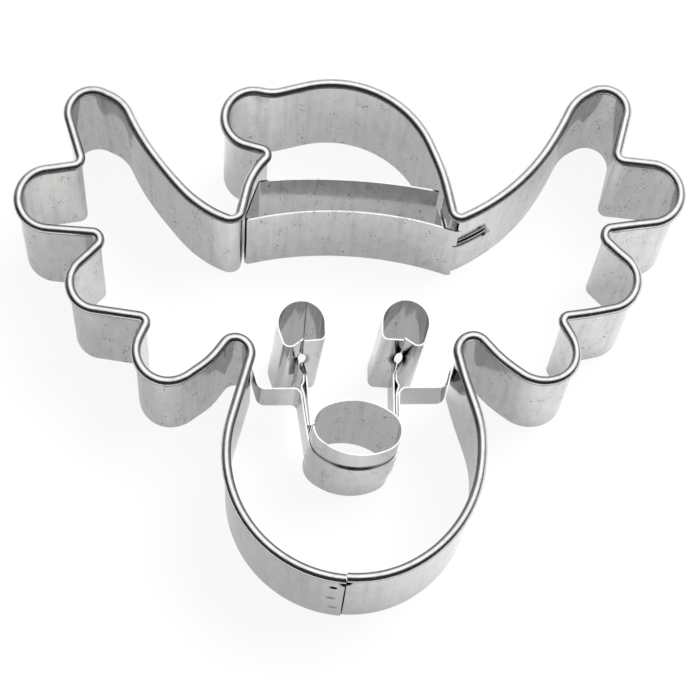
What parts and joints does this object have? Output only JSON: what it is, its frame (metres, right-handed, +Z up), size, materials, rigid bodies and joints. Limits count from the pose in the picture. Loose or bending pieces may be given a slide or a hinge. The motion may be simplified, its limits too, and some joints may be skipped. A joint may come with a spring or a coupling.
{
  "type": "cookie cutter",
  "caption": "Strip metal cookie cutter in the shape of a reindeer head in a pointed cap, with a rolled safe edge and inner strips that mark the eyes, the nose and the brim.",
  "frame": {"origin": "below the middle of the outline, on the plane of the cutting edges", "axes": "+Z up, from the cutting edge to the rolled edge; +Y from the chin to the cap; +X to the right of the face seen from above"},
  "size_m": [0.0982, 0.0758, 0.025],
  "materials": {
    "band_steel": "bright rolled strip, lightly speckled",
    "inner_strip_steel": "bright rolled strip, lightly speckled"
  },
  "bodies": {
    "root": {"outline_band": "band_steel", "cap_brim_strip": "inner_strip_steel", "left_eye_strip": "inner_strip_steel", "right_eye_strip": "inner_strip_steel", "nose_ring_strip": "inner_strip_steel", "nose_bracket_strip": "inner_strip_steel"}
  },
  "joints": []
}
